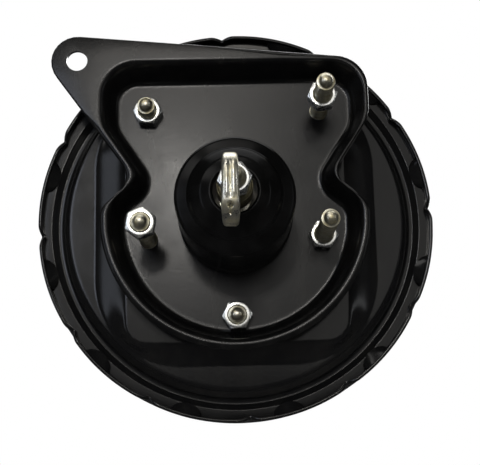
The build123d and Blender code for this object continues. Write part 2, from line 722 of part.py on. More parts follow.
poppet_top = chamber_y + 1.8
disc = section(
    (0, chamber_y + 0.1, 0), (chamber_radius - 0.3, chamber_y + 0.1, 0),
    (chamber_radius - 0.3, poppet_top, 0),
    (1.4, poppet_top, 0), (1.4, poppet_top + 3, 0.5), (0, poppet_top + 3, 0),
)
at_check_valve(disc, "check_valve_poppet")

check_spring = coil(0.6, 3, poppet_top, chamber_top, 2.9, 2.9).moved(Location((0, 0, check_valve_z)))
check_spring.label = "check_valve_spring"
export_step(check_spring, "parts/check_valve_spring.step")
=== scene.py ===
import json
import math

import bmesh
import bpy
from mathutils import Matrix, Vector


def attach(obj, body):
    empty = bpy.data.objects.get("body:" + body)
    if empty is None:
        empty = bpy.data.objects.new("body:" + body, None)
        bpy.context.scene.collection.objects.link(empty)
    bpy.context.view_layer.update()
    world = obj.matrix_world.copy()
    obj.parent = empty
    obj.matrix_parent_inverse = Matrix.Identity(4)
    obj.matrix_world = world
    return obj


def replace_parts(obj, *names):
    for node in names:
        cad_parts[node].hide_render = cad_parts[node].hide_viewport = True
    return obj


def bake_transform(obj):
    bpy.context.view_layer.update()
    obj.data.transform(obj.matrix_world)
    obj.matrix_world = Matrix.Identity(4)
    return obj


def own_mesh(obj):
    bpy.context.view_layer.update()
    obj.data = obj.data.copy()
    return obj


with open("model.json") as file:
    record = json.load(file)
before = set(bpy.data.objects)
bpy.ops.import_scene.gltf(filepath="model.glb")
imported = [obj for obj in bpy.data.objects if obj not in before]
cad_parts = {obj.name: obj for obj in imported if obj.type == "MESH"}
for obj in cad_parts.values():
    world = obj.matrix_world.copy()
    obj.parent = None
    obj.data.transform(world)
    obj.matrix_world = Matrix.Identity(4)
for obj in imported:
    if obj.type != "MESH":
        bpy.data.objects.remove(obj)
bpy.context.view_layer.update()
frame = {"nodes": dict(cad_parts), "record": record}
nodes = frame["nodes"]
mm = 0.001  # profiles are in millimetres; the camera, lamps and floor are in metres


# a shader socket whose arithmetic adds Math nodes
class Socket:
    def __init__(self, finish, output):
        self.finish = finish
        self.output = output

    def maths(self, operation, first, second):
        return self.finish.node("ShaderNodeMath", {"operation": operation}, {0: first, 1: second})

    def __add__(self, other):
        return self.maths("ADD", self, other)

    __radd__ = __add__

    def __mul__(self, other):
        return self.maths("MULTIPLY", self, other)

    __rmul__ = __mul__


# a material, with keyword arguments for the shader's plain sockets
class Finish:
    def __init__(self, name, **sockets):
        self.material = bpy.data.materials.new(name)
        self.material.use_nodes = True
        self.tree = self.material.node_tree
        self.shader = self.tree.nodes["Principled BSDF"]
        for label, value in sockets.items():
            self.shader.inputs[label.replace("_", " ")].default_value = value

    def node(self, kind, settings=None, inputs=None, output=0):
        made = self.tree.nodes.new(kind)
        for key, value in (settings or {}).items():
            setattr(made, key, value)
        for key, value in (inputs or {}).items():
            if isinstance(value, Socket):
                self.tree.links.new(value.output, made.inputs[key])
            else:
                made.inputs[key].default_value = value
        return Socket(self, made.outputs[output])

    def feed(self, label, value):
        self.tree.links.new(value.output, self.shader.inputs[label])

    def place(self):
        return self.node("ShaderNodeTexCoord", output="Object")

    def noise(self, scale, detail=3.0, roughness=0.5, stretch=None):
        where = self.place()
        if stretch:
            where = self.node("ShaderNodeMapping", inputs={"Vector": where, "Scale": stretch})
        sizes = {"Vector": where, "Scale": scale, "Detail": detail, "Roughness": roughness}
        return self.node("ShaderNodeTexNoise", inputs=sizes)

    def span(self, value, low, high, toLow=0.0, toHigh=1.0):
        limits = {"Value": value, "From Min": low, "From Max": high, "To Min": toLow, "To Max": toHigh}
        return self.node("ShaderNodeMapRange", {"clamp": True}, limits)

    def mix(self, mask, first, second):
        settings = {"data_type": "RGBA"}
        return self.node("ShaderNodeMix", settings, {0: mask, 6: first, 7: second}, output=2)

    def bump(self, height, strength, distance):
        sizes = {"Height": height, "Strength": strength, "Distance": distance}
        self.feed("Normal", self.node("ShaderNodeBump", inputs=sizes))


def grey(level):
    return (level, level, level, 1)


# black enamel: the bracket is duller and dustier than the shells; noise sizes are per metre
enamelNoise = {"cloud": 42, "streak": 120, "speck": 2600}
bracketPaint = {
    "colour": 0.004, "dusty": 0.02, "low": 0.17, "high": 0.26,
    "mirror": 0.25, "peel": 700, "depth": 0.00006,
}
shellPaint = {
    "colour": 0.006, "dusty": 0.016, "low": 0.1, "high": 0.17,
    "mirror": 0.2, "peel": 500, "depth": 0.00004,
}


def blackEnamel(name, look):
    paint = Finish(name, Specular_IOR_Level=look["mirror"])
    cloud = paint.noise(enamelNoise["cloud"], 6, 0.6)
    streak = paint.noise(enamelNoise["streak"], 4, 0.6, stretch=(1, 1, 0.25))
    speck = paint.noise(enamelNoise["speck"], 2)
    dust = paint.span(speck, 0.62, 0.72) * paint.span(cloud, 0.45, 0.7)
    film = paint.span(streak, 0.45, 0.75) * 0.35 + dust * 0.6
    clean = (look["colour"], look["colour"], look["colour"] * 1.05, 1)
    dusty = (look["dusty"], look["dusty"] * 0.97, look["dusty"] * 0.86, 1)
    paint.feed("Base Color", paint.mix(film, clean, dusty))
    paint.feed("Roughness", paint.span(cloud, 0.3, 0.7, look["low"], look["high"]) + dust * 0.12)
    peel = paint.noise(look["peel"], 3, 0.6)
    paint.bump(peel + speck * 0.35, 0.4, look["depth"])
    return paint.material


# zinc plate: bright colour, stained colour, how metallic, and the roughness range
zincNoise = {"stain": 320, "grain": 1900, "depth": 0.00002}
zincLooks = {
    "whiteZinc": ((0.80, 0.81, 0.80, 1), (0.62, 0.62, 0.57, 1), 1.0, 0.16, 0.3),
    "yellowZinc": ((0.74, 0.71, 0.58, 1), (0.44, 0.39, 0.24, 1), 1.0, 0.26, 0.42),
    "collarZinc": ((0.11, 0.1, 0.062, 1), (0.06, 0.052, 0.03, 1), 0.9, 0.38, 0.5),
    "rodZinc": ((0.84, 0.82, 0.72, 1), (0.60, 0.55, 0.38, 1), 1.0, 0.22, 0.38),
}


def zincPlate(name):
    bright, stained, metallic, smoothest, roughest = zincLooks[name]
    plate = Finish(name, Specular_IOR_Level=0.5)
    cloud = plate.noise(zincNoise["stain"], 4)
    fine = plate.noise(zincNoise["grain"], 3)
    stain = plate.span(cloud, 0.42, 0.68)
    plate.feed("Base Color", plate.mix(stain, bright, stained))
    plate.feed("Metallic", plate.span(stain, 0, 1, metallic, metallic - 0.12))
    plate.feed("Roughness", plate.span(fine, 0.3, 0.7, smoothest, roughest) + stain * 0.08)
    plate.bump(fine, 0.25, zincNoise["depth"])
    return plate.material


# the other finishes: colours from darkest to lightest, roughness range, noise sizes and bump depth
rubberLook = {
    "colours": (grey(0.003), grey(0.006)), "rough": (0.18, 0.27), "mirror": 0.08,
    "cloud": 90, "grain": 2600, "depth": 0.00003,
}
resinLook = {
    "colours": ((0.012, 0.012, 0.013, 1), (0.015, 0.015, 0.01625, 1)), "rough": (0.32, 0.44),
    "cloud": 120, "grain": 3000, "depth": 0.00002,
}
steelLook = {"darker": 0.75, "rough": (-0.07, 0.1), "cloud": 150, "lines": 1500, "depth": 0.00002}
feltLook = {
    "colours": ((0.16, 0.15, 0.13, 1), (0.36, 0.34, 0.3, 1)), "rough": 0.95, "fibre": 1800, "depth": 0.0002,
}


def bootRubber():
    rubber = Finish("bootRubber", Specular_IOR_Level=rubberLook["mirror"])
    cloud = rubber.noise(rubberLook["cloud"], 4)
    grain = rubber.noise(rubberLook["grain"], 3)
    rubber.feed("Base Color", rubber.mix(rubber.span(cloud, 0.4, 0.7), *rubberLook["colours"]))
    rubber.feed("Roughness", rubber.span(cloud, 0.3, 0.7, *rubberLook["rough"]))
    rubber.bump(grain, 0.3, rubberLook["depth"])
    return rubber.material


def mouldedResin():
    resin = Finish("mouldedResin")
    cloud = resin.noise(resinLook["cloud"], 3)
    resin.feed("Base Color", resin.mix(resin.span(cloud, 0.35, 0.65), *resinLook["colours"]))
    resin.feed("Roughness", resin.span(cloud, 0.3, 0.7, *resinLook["rough"]))
    resin.bump(resin.noise(resinLook["grain"], 2), 0.25, resinLook["depth"])
    return resin.material


def turnedSteel(name, colour, rough):
    steel = Finish(name, Metallic=1.0)
    lines = steel.noise(steelLook["lines"], 3, stretch=(0.06, 3.0, 0.06))
    cloud = steel.noise(steelLook["cloud"], 3)
    darker = tuple(c * steelLook["darker"] for c in colour[:3]) + (1,)
    smoother, rougher = steelLook["rough"]
    steel.feed("Base Color", steel.mix(steel.span(cloud, 0.4, 0.7), colour, darker))
    steel.feed("Roughness", steel.span(lines, 0.3, 0.7, rough + smoother, rough + rougher))
    steel.bump(lines, 0.3, steelLook["depth"])
    return steel.material


def filterFelt():
    felt = Finish("filterFelt", Roughness=feltLook["rough"])
    fibre = felt.noise(feltLook["fibre"], 6, 0.7)
    felt.feed("Base Color", felt.mix(felt.span(fibre, 0.35, 0.7), *feltLook["colours"]))
    felt.bump(fibre, 0.9, feltLook["depth"])
    return felt.material


finishes = {
    "black_enamel": blackEnamel("shellEnamel", shellPaint),
    "white_zinc": zincPlate("whiteZinc"),
    "yellow_zinc": zincPlate("yellowZinc"),
    "boot_rubber": bootRubber(),
    "moulded_resin": mouldedResin(),
    "spring_steel": turnedSteel("springWire", (0.3, 0.3, 0.31, 1), 0.32),
    "machined_steel": turnedSteel("turnedSteel", (0.58, 0.57, 0.55, 1), 0.24),
    "filter_felt": filterFelt(),
}
collarPlate = zincPlate("collarZinc")
rodPlate = zincPlate("rodZinc")
bracketEnamel = blackEnamel("bracketEnamel", bracketPaint)
for part in frame["record"]["subparts"]:
    for place in nodes[part["node"]].material_slots:
        place.material = finishes[part["material_slot"]]
for place in nodes["mounting_bracket"].material_slots:
    place.material = bracketEnamel
print("finishes on", len(nodes), "frame pieces")


# mesh tools: a profile is a list of (radius, y) or (radius, y, corner round)
def meshPiece(name, points, faces, slot, body, finish=None, sharp=34):
    mesh = bpy.data.meshes.new(name)
    mesh.from_pydata([tuple(p) for p in points], [], faces)
    mesh.validate()
    welded = bmesh.new()
    welded.from_mesh(mesh)
    bmesh.ops.remove_doubles(welded, verts=welded.verts, dist=1e-6)
    bmesh.ops.recalc_face_normals(welded, faces=welded.faces)
    welded.to_mesh(mesh)
    welded.free()
    piece = bpy.data.objects.new(name, mesh)
    bpy.context.collection.objects.link(piece)
    mesh.materials.append(finish or finishes[slot])
    mesh.shade_smooth()
    mesh.set_sharp_from_angle(angle=math.radians(sharp))
    if body:
        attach(piece, body)
    return piece


def rounded(corners, steps=5, closed=False):
    # the corners as a line of points, with an arc in each corner that has a round
    line = []
    count = len(corners)
    for i, (a, b, r) in enumerate(corners):
        here = Vector((a, b))
        if r <= 0 or (not closed and i in (0, count - 1)):
            line.append(here)
            continue
        before = (Vector(corners[i - 1][:2]) - here)
        after = (Vector(corners[(i + 1) % count][:2]) - here)
        half = before.angle(after) / 2
        reach = min(r / math.tan(half), before.length * 0.49, after.length * 0.49)
        r = reach * math.tan(half)
        centre = here + (before.normalized() + after.normalized()).normalized() * (r / math.sin(half))
        start = here + before.normalized() * reach - centre
        turn = start.angle_signed(here + after.normalized() * reach - centre)
        for k in range(steps + 1):
            line.append(centre + Matrix.Rotation(-turn * k / steps, 2) @ start)
    return line


def grid(rows, columns, closedRows=False):
    # quads between rows of points that run round in a ring
    faces = []
    for i in range(rows if closedRows else rows - 1):
        j = (i + 1) % rows
        for k in range(columns):
            m = (k + 1) % columns
            faces.append((i * columns + k, i * columns + m, j * columns + m, j * columns + k))
    return faces


def turned(line, steps, centre=(0, 0), shape=None):
    # the line turned about the axis; shape may move each point
    points = []
    for radius, y in line:
        for k in range(steps):
            angle = math.tau * k / steps
            r, h = (radius, y) if shape is None else shape(radius, y, angle)
            points.append(Vector((centre[0] + r * math.cos(angle), h, centre[1] + r * math.sin(angle))) * mm)
    return points


def lathe(name, corners, slot, body, steps=96, centre=(0, 0), closed=True, finish=None, arc=5):
    line = rounded(corners, arc, closed)
    return meshPiece(name, turned(line, steps, centre), grid(len(line), steps, closed), slot, body, finish)


def limited(value):
    return max(0, min(1, value))


# camera, lamps, surround and floor
view = {
    "place": (0.0003, -0.4365, -0.0932), "right": (0.9998, 0, -0.0192), "up": (0.0189, -0.1888, 0.9818),
    "lens": 75, "sensor": 36,
}
cameraData = bpy.data.cameras.new("camera")
camera = bpy.data.objects.new("camera", cameraData)
bpy.context.collection.objects.link(camera)
right = Vector(view["right"]).normalized()
up = Vector(view["up"]).normalized()
turn = Matrix((right, up, right.cross(up))).transposed().to_4x4()
camera.matrix_world = Matrix.Translation(view["place"]) @ turn
cameraData.lens = view["lens"]
cameraData.sensor_width = view["sensor"]
cameraData.sensor_fit = "HORIZONTAL"
cameraData.clip_start = 0.01
bpy.context.scene.camera = camera

# all lamps face the origin: the panels ahead show in the bracket's floor, the strips in the edges
lamps = {
    "keyBox": {"place": (-0.12, -1.45, 0.35), "size": (0.13, 0.13), "watts": 2.2, "tint": (1, 0.97, 0.92)},
    "fillPanel": {"place": (0.08, -1.5, 0.41), "size": (1.2, 0.82), "watts": 3.6, "tint": (1, 0.98, 0.94)},
    "bluePanel": {"place": (-0.5, -1.45, 0.3), "size": (0.24, 0.4), "watts": 1.8, "tint": (0.78, 0.84, 1)},
    "topPanel": {"place": (-0.08, -1.45, 0.64), "size": (0.4, 0.1), "watts": 0.9, "tint": (1, 0.95, 0.88)},
    "leftStrip": {"place": (-1.2, -0.9, 0.15), "size": (0.25, 0.9), "watts": 1.8, "tint": (0.82, 0.88, 1)},
    "rightStrip": {"place": (1.3, -0.8, 0.15), "size": (0.12, 0.8), "watts": 0.8, "tint": (0.95, 0.97, 1)},
    "upperLeft": {"place": (-0.85, -1.0, 0.95), "size": (0.6, 0.5), "watts": 3.0, "tint": (1, 0.98, 0.95)},
    "topStrip": {"place": (-0.1, -0.8, 1.25), "size": (0.9, 0.1), "watts": 2.4, "tint": (1, 0.97, 0.92)},
    "topBank": {"place": (0.0, 0.45, 1.3), "size": (1.6, 0.9), "watts": 10, "tint": (1, 1, 1)},
    "backBank": {"place": (0.5, 1.4, 0.7), "size": (1.2, 0.9), "watts": 24, "tint": (1, 1, 1)},
}
for name, lamp in lamps.items():
    light = bpy.data.lights.new(name, "AREA")
    light.shape = "RECTANGLE"
    light.size, light.size_y = lamp["size"]
    light.energy = lamp["watts"]
    light.color = lamp["tint"]
    holder = bpy.data.objects.new(name, light)
    holder.location = lamp["place"]
    holder.rotation_euler = (-Vector(lamp["place"])).to_track_quat("-Z", "Y").to_euler()
    bpy.context.collection.objects.link(holder)

# the surround is seen white, and lights the scene far less than that
surround = {"seen": 1.0, "lit": 0.03, "floor": -0.135, "reach": 0.65, "shift": 0.05, "fade": (0.24, 0.6)}
world = bpy.data.worlds.new("surround")
bpy.context.scene.world = world
world.use_nodes = True
sky = world.node_tree
bpy.context.scene.view_settings.view_transform = "Standard"
back = sky.nodes["Background"]
back.inputs["Color"].default_value = (1, 1, 1, 1)
path = sky.nodes.new("ShaderNodeLightPath")
level = sky.nodes.new("ShaderNodeMapRange")
level.inputs["To Min"].default_value = surround["lit"]
level.inputs["To Max"].default_value = surround["seen"]
sky.links.new(path.outputs["Is Camera Ray"], level.inputs["Value"])
sky.links.new(level.outputs[0], back.inputs["Strength"])

# the floor fades out into the surround and stays out of the enamel's reflections
glow = {"Emission_Color": grey(1), "Emission_Strength": 0.2}
floorFinish = Finish("paleFloor", Roughness=0.8, Specular_IOR_Level=0.2, **glow)
floorFinish.feed("Base Color", floorFinish.mix(floorFinish.noise(3, 2), grey(0.86), grey(0.9)))
where = {0: floorFinish.place()}
away = floorFinish.node("ShaderNodeVectorMath", {"operation": "LENGTH"}, where, output="Value")
floorFinish.feed("Alpha", floorFinish.span(away, *surround["fade"], 1, 0))
floorMesh = bpy.data.meshes.new("paleFloor")
half = surround["reach"]
corners = [(-half, -half), (half, -half), (half, half), (-half, half)]
floorPoints = [(x, y + surround["shift"], surround["floor"]) for x, y in corners]
floorMesh.from_pydata(floorPoints, [], [(0, 1, 2, 3)])
floorMesh.materials.append(floorFinish.material)
floor = bpy.data.objects.new("paleFloor", floorMesh)
bpy.context.collection.objects.link(floor)
floor.visible_glossy = False
print("camera, lamps and floor")


# studs: a dog-point tip, an M8 thread, and a flat head behind the plate
thread = {
    "radius": 3.97, "pitch": 1.25, "depth": 0.62, "flank": 1.6, "crest": 0.3, "around": 40, "perTurn": 8,
}
studs = {
    "floor": 15.0, "head": (18.6, 21.0), "headRadius": 7.0, "inset": 0.05, "shank": 4.25, "length": 45.5,
    "tip": 3.1, "tipLength": 3.6,
    "dome": ((0, 0), (0.9, 0.1), (1.7, 0.4), (2.35, 0.95), (2.8, 1.7), (3.02, 2.4)),
    "groove": 2.65, "grooveFrom": 0.65, "grooveTo": 0.35, "shoulder": 3.35,
    "long": {"UpperRight": (40, 51), "LowerLeft": (-40, -9), "LowerRight": (40, -9)},
    "short": {"UpperLeft": (-40, 51, 17.2), "Bottom": (0, -44.9, 10.4)},
}
noseStuds = {
    "across": {"Left": -38, "Right": 38}, "head": (86.05, 88.35), "headRadius": 6.95,
    "shank": 4.2, "thread": (90.1, 113.2), "end": ((3.4, 113.4), (3.0, 113.95), (0, 113.95)),
}


def threadedLine(name, body, centre, start, end, before, after, finish=None):
    # the plain profile before, a thread from start to end, and the plain profile after
    around, perTurn = thread["around"], thread["perTurn"]
    rows = [[corner] * around for corner in before]
    count = int(abs(end - start) / thread["pitch"] * perTurn)
    for i in range(count + 1):
        y = start + (end - start) * i / count
        fade = min(1, (i + 1) / perTurn, (count - i + 1) / perTurn)
        row = []
        for k in range(around):
            turnPart = (y / thread["pitch"] + k / around) % 1
            ridge = limited(thread["flank"] * abs(2 * turnPart - 1) - thread["crest"])
            row.append((thread["radius"] - thread["depth"] * (1 - ridge) * fade, y))
        rows.append(row)
    rows += [[corner] * around for corner in after]
    points = []
    for row in rows:
        for k, (r, y) in enumerate(row):
            angle = math.tau * k / around
            points.append(Vector((centre[0] + r * math.cos(angle), y, centre[1] + r * math.sin(angle))) * mm)
    return meshPiece(name, points, grid(len(rows), around), "yellow_zinc", body, finish, sharp=50)


def bracketStud(name, centre, length, replaced):
    tip = studs["floor"] - length
    neck = tip + studs["tipLength"]
    point = [(r, tip + y) for r, y in studs["dome"]]
    point += [(studs["tip"], neck - 0.8), (studs["groove"], neck - studs["grooveFrom"])]
    point += [(studs["groove"], neck - studs["grooveTo"]), (studs["shoulder"], neck)]
    inset = studs["inset"]
    headFrom, headTo = studs["head"][0] + inset, studs["head"][1] - inset
    wide = studs["headRadius"] - inset
    foot = [(studs["shank"], studs["floor"] + inset), (studs["shank"], headFrom)]
    foot += [(wide, headFrom), (wide, headTo), (0, headTo)]
    piece = threadedLine("stud" + name, "root", centre, neck + 0.1, studs["floor"] - 0.1, point, foot)
    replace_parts(piece, replaced)


for label, centre in studs["long"].items():
    bracketStud(label, centre, studs["length"], "firewall_studs")
for label, (x, z, length) in studs["short"].items():
    bracketStud(label, (x, z), length, "bracket_studs")
for side, x in noseStuds["across"].items():
    low, high = noseStuds["head"]
    wide, shank = noseStuds["headRadius"], noseStuds["shank"]
    start, end = noseStuds["thread"]
    foot = [(0, low), (wide, low), (wide, high), (shank, high), (shank, start - 0.05)]
    piece = threadedLine("cylinderStud" + side, "root", (x, 0), start, end, foot, noseStuds["end"])
    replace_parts(piece, "cylinder_studs")
print("studs")


# nuts: M8 with chamfered corners and a bevelled bore, turned a little from each other
nut = {
    "flats": 12.0, "height": 6.5, "corner": 0.45, "bore": 3.9, "bevel": (0.65, 0.6),
    "face": (5.5, 5.68, 0.05), "edge": (0.12, 0.18),
    "chamferRadius": 5.7, "chamferSlope": 0.55, "alongFlat": 4, "roundCorner": 4,
}


def hexOutline():
    inner = nut["flats"] / 2 - nut["corner"]
    line = []
    for side in range(6):
        mid = math.tau * side / 6 + math.pi / 6
        tangent = Vector((-math.sin(mid), math.cos(mid)))
        normal = Vector((math.cos(mid), math.sin(mid)))
        length = inner * math.tan(math.pi / 6)
        for k in range(-nut["alongFlat"], nut["alongFlat"] + 1):
            line.append(normal * nut["flats"] / 2 + tangent * length * k / nut["alongFlat"])
        corner = Vector((math.cos(mid + math.pi / 6), math.sin(mid + math.pi / 6)))
        middle = corner * inner / math.cos(math.pi / 6)
        for k in range(1, nut["roundCorner"]):
            swing = mid + math.pi / 3 * k / nut["roundCorner"]
            line.append(middle + Vector((math.cos(swing), math.sin(swing))) * nut["corner"])
    return line


def hexNut(name, body, centre, face, turnBy, replaced):
    outline = [Matrix.Rotation(math.radians(turnBy), 2) @ p for p in hexOutline()]
    high, bore = nut["height"], nut["bore"]
    wider, deeper = nut["bevel"]
    flat, rim, drop = nut["face"]
    inset, edge = nut["edge"]
    rings = [(bore, high - deeper), (bore + wider, high), (flat, high), (rim, high - drop)]
    hexes = [(inset, high, -1), (0.0, high - edge, -1), (0.0, edge, 1), (inset, 0, 1)]
    lowRings = [(rim, drop), (flat, 0), (bore + wider, 0), (bore, deeper)]
    rows = [[(p.normalized() * radius, y) for p in outline] for radius, y in rings]
    for inward, y, way in hexes:
        slope = nut["chamferSlope"] * way
        over = [max(0, p.length - nut["chamferRadius"]) for p in outline]
        rows.append([(p * (1 - inward / p.length), y + slope * out) for p, out in zip(outline, over)])
    rows += [[(p.normalized() * radius, y) for p in outline] for radius, y in lowRings]
    points = [Vector((centre[0] + q.x, face + y, centre[1] + q.y)) * mm for row in rows for q, y in row]
    faces = grid(len(rows), len(outline), closedRows=True)
    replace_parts(meshPiece(name, points, faces, "white_zinc", body, sharp=24), replaced)


# place (x, z), front face's y, turn in degrees, and the node it stands for
nutPlaces = {
    "nutUpperLeft": ((-40, 51), 8.5, -4, "bracket_nuts"),
    "nutLowerRight": ((40, -9), 8.5, -6, "bracket_nuts"),
    "nutBottom": ((0, -44.9), 8.5, 4, "bracket_nuts"),
    "nutUpperRight": ((40, 51), -10.5, 8, "firewall_nuts"),
    "nutLowerLeft": ((-40, -9), -26.0, 22, "firewall_nuts"),
}
for label, (centre, face, turnBy, replaced) in nutPlaces.items():
    hexNut(label, "root", centre, face, turnBy, replaced)
hexNut("lockNut", "push_rod", (0, 0), -64.0, 8, "lock_nut")
print("nuts")


# front shell: a drum with a sloping nose, and a skirt that is scalloped, notched and crimped;
# pairs are the outer and the inner skin, apart from the skirt's own, which go outwards
drum = {
    "sheet": 1.6, "bore": 15.9, "nose": 90.0, "shoulder": 60.0, "radius": 87.0, "ledge": 35.1,
    "noseRadius": (56.0, 55.2), "noseRound": (9, 7.4), "wallRound": (16, 14.4), "footRound": 1,
    "cornerRound": 2.5, "skirt": (91.0, 92.58), "skirtTop": 30.0,
    "edge": ((91.2, 22.7, 0), (91.5, 22.6, 0), (92.2, 22.6, 0), (92.5, 22.8, 0)),
}
skirt = {
    "count": 12, "from": 90.5, "top": 33, "fade": 8, "swell": 0.55, "steps": 1080,
    "dentAt": 14.5, "dentHalf": 4.7, "dentDepth": 4.9, "dentY": 26.0, "dentHigh": 2.1, "dentEnds": 0.6,
    "notchAt": 3.2, "notchHalf": 3.4, "notchCut": 1.2, "notchFrom": 26.0, "notchHigh": 3.4,
    "notchEnds": 1.7, "dip": 1.5,
    "rows": (28.1, 27.4, 26.9, 26.5, 26.0, 25.5, 25.0, 24.5, 23.9, 23.2),
}


def fromMiddle(angle, middle):
    # degrees from the nearest of the repeats of middle round the rim
    step = 360 / skirt["count"]
    return (math.degrees(angle) - middle + step / 2) % step - step / 2


def skirtShape(radius, y, angle):
    if radius < skirt["from"] or y > skirt["top"]:
        return radius, y
    notch = max(0, 1 - abs(fromMiddle(angle, skirt["notchAt"])) / skirt["notchHalf"]) ** skirt["notchEnds"]
    low = limited((skirt["top"] - y) / skirt["fade"])
    wave = fromMiddle(angle, skirt["notchAt"] + 180 / skirt["count"]) * skirt["count"] / 2
    r = radius - skirt["swell"] * (1 - math.cos(math.radians(wave))) / 2 * low - skirt["dip"] * notch * low
    dent = max(0, 1 - (fromMiddle(angle, skirt["dentAt"]) / skirt["dentHalf"]) ** 2) ** skirt["dentEnds"]
    r -= skirt["dentDepth"] * dent * max(0, 1 - abs(y - skirt["dentY"]) / skirt["dentHigh"])
    return r, y + skirt["notchCut"] * notch * max(0, (skirt["notchFrom"] - y) / skirt["notchHigh"])


def drumLine():
    sheet, nose, ledge = drum["sheet"], drum["nose"], drum["ledge"]
    inner, outer = drum["skirt"]
    wide, narrow = drum["noseRadius"]
    noseOut, noseIn = drum["noseRound"]
    wallOut, wallIn = drum["wallRound"]
    foot, corner = drum["footRound"], drum["cornerRound"]
    line = [(drum["bore"], nose - sheet, 0), (narrow, nose - sheet, noseIn)]
    within = drum["radius"] - sheet
    line += [(within, drum["shoulder"], wallIn), (within, ledge - sheet, corner)]
    line += [(inner, ledge - sheet, foot), (inner, drum["skirtTop"], 0)]
    line += [(inner, y, 0) for y in skirt["rows"]]
    line += drum["edge"]
    line += [(outer, y, 0) for y in skirt["rows"][::-1]]
    line += [(outer, drum["skirtTop"], 0), (outer, ledge, corner), (drum["radius"], ledge, foot)]
    line += [(drum["radius"], drum["shoulder"], wallOut), (wide, nose, noseOut), (drum["bore"], nose, 0)]
    return rounded(line, 8, True)


line = drumLine()
shellPoints = turned(line, skirt["steps"], shape=skirtShape)
front = meshPiece("frontShell", shellPoints, grid(len(line), skirt["steps"], True), "black_enamel", "root")
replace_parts(front, "front_shell")
print("front shell")


# rear shell: a pan with a raised flat under the bracket; flat and foot are half sizes with a round
pan = {
    "ring": 22.0, "bead": 29.5, "flange": 27.0, "rise": 5.0, "sheet": 1.6, "flat": (51.0, 57.2, 10.0),
    "foot": (65.3, 65.8, 40.0), "crease": 0.74, "riseEdge": 77.6, "riseFade": 1.4, "ringRadius": 76.0,
    "neck": (21.0, 22.6), "neckFrom": 18.7, "neckEnd": -5.0, "mouth": 18.0, "steps": 360, "rows": 62,
}


def boxAway(x, z, wide, high, corner):
    # distance outside a rectangle with round corners
    a, b = abs(x) - wide + corner, abs(z) - high + corner
    return math.hypot(max(a, 0), max(b, 0)) + min(max(a, b), 0) - corner


def smooth(value):
    value = limited(value)
    return value * value * (3 - 2 * value)


def raised(radius, y, angle):
    x, z = radius * math.cos(angle), radius * math.sin(angle)
    inner = boxAway(x, z, *pan["flat"])
    outer = boxAway(x, z, *pan["foot"])
    share = 0 if inner <= 0 else (1 if outer >= 0 else inner / (inner - outer))
    bend = pan["crease"] * share + (1 - pan["crease"]) * smooth(share)
    rim = smooth((pan["riseEdge"] - radius) / pan["riseFade"])
    return radius, y - pan["rise"] * (1 - bend) * rim


def panLine():
    inner, outer = pan["neck"][1], pan["ringRadius"]
    ring, bead, flange = pan["ring"], pan["bead"], pan["flange"]
    ringBack, beadBack, flangeBack = (y + pan["sheet"] for y in (ring, bead, flange))
    front = [(outer + 0.5, ring, 0), (78.0, ring, 2.2), (82.0, bead, 0.9), (84.0, bead, 0.9)]
    front += [(86.5, flange, 1.0), (90.85, flange, 0)]
    back = [(90.85, flangeBack, 0), (87.3, flangeBack, 0.9), (84.8, beadBack, 0.9), (81.2, beadBack, 0.9)]
    back += [(77.2, ringBack, 2.2), (outer - 0.5, ringBack, 0)]
    levels = [inner + (outer - inner) * k / pan["rows"] for k in range(pan["rows"] + 1)]
    line = [Vector((r, ring)) for r in levels] + rounded(front, 7)[1:] + rounded(back, 4)[:-1]
    return line + [Vector((r, ringBack)) for r in levels[::-2]]


line = panLine()
shellPoints = turned(line, pan["steps"], shape=raised)
shellFaces = grid(len(line), pan["steps"], True)
rear = meshPiece("rearShell", shellPoints, shellFaces, "black_enamel", "root", sharp=60)
bore, outside = pan["neck"]
neckEnd, neckFrom = pan["neckEnd"], pan["neckFrom"]
neck = [(outside, neckFrom, 0), (outside, neckEnd, 2.4), (pan["mouth"], neckEnd, 0)]
neck += [(pan["mouth"], neckEnd + pan["sheet"], 0), (bore, neckEnd + pan["sheet"], 0.8), (bore, neckFrom, 0)]
lathe("rearShellNeck", neck, "black_enamel", "root", 96)
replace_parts(rear, "rear_shell")
print("rear shell")


# bracket: a keyhole dish with a bent lip that widens into a flange and an ear
dish = {
    "top": 66.2, "half": 55.2, "corner": 15, "side": 44.0, "waist": (37.0, 16.0), "waistRound": 14,
    "circle": 52.4, "arc": (4, -184, 94), "shoulder": 9, "depth": 15.0, "draft": 4.2, "foot": 0.28,
    "footBend": 2.2, "backBend": 2.5, "sheet": 2.0, "bend": 2.6, "hem": -3.0, "gap": 0.9,
    "arcSteps": 26, "wallSteps": 6,
}
lip = {
    "ear": (-71.5, 72.5), "earRound": 12, "topSlope": -5.4, "sideSlope": -54.2, "sideLength": 87.5,
    "out": 4.4, "cornerOut": 2.4, "neckOut": 2.2, "arc": (3, -183, 93), "roll": (2.6, 1.5),
    "earRoll": (0.9, 0.9), "rollSteps": 8, "narrow": 5, "widening": 4, "bevel": (0.12, 0.35), "gap": 3,
    "arcSteps": 20,
}
holes = {
    "ear": 4.8, "boot": 24.2, "stud": 4.25, "studs": ((-40, 51), (40, 51), (-40, -9), (40, -9), (0, -44.9)),
    "middle": 8, "depth": 60, "segments": 64,
}


def arcCorners(radius, start, end, steps):
    turns = [math.radians(start + (end - start) * k / steps) for k in range(steps + 1)]
    return [(radius * math.cos(a), radius * math.sin(a), 0) for a in turns]


def lowerCircle(radius, arc):
    # the dish's lower circle, with a round where the waist runs into it on each side
    line = arcCorners(radius, *arc)
    first, last = line[0], line[-1]
    return [(*first[:2], dish["shoulder"])] + line[5:-5] + [(*last[:2], dish["shoulder"])]


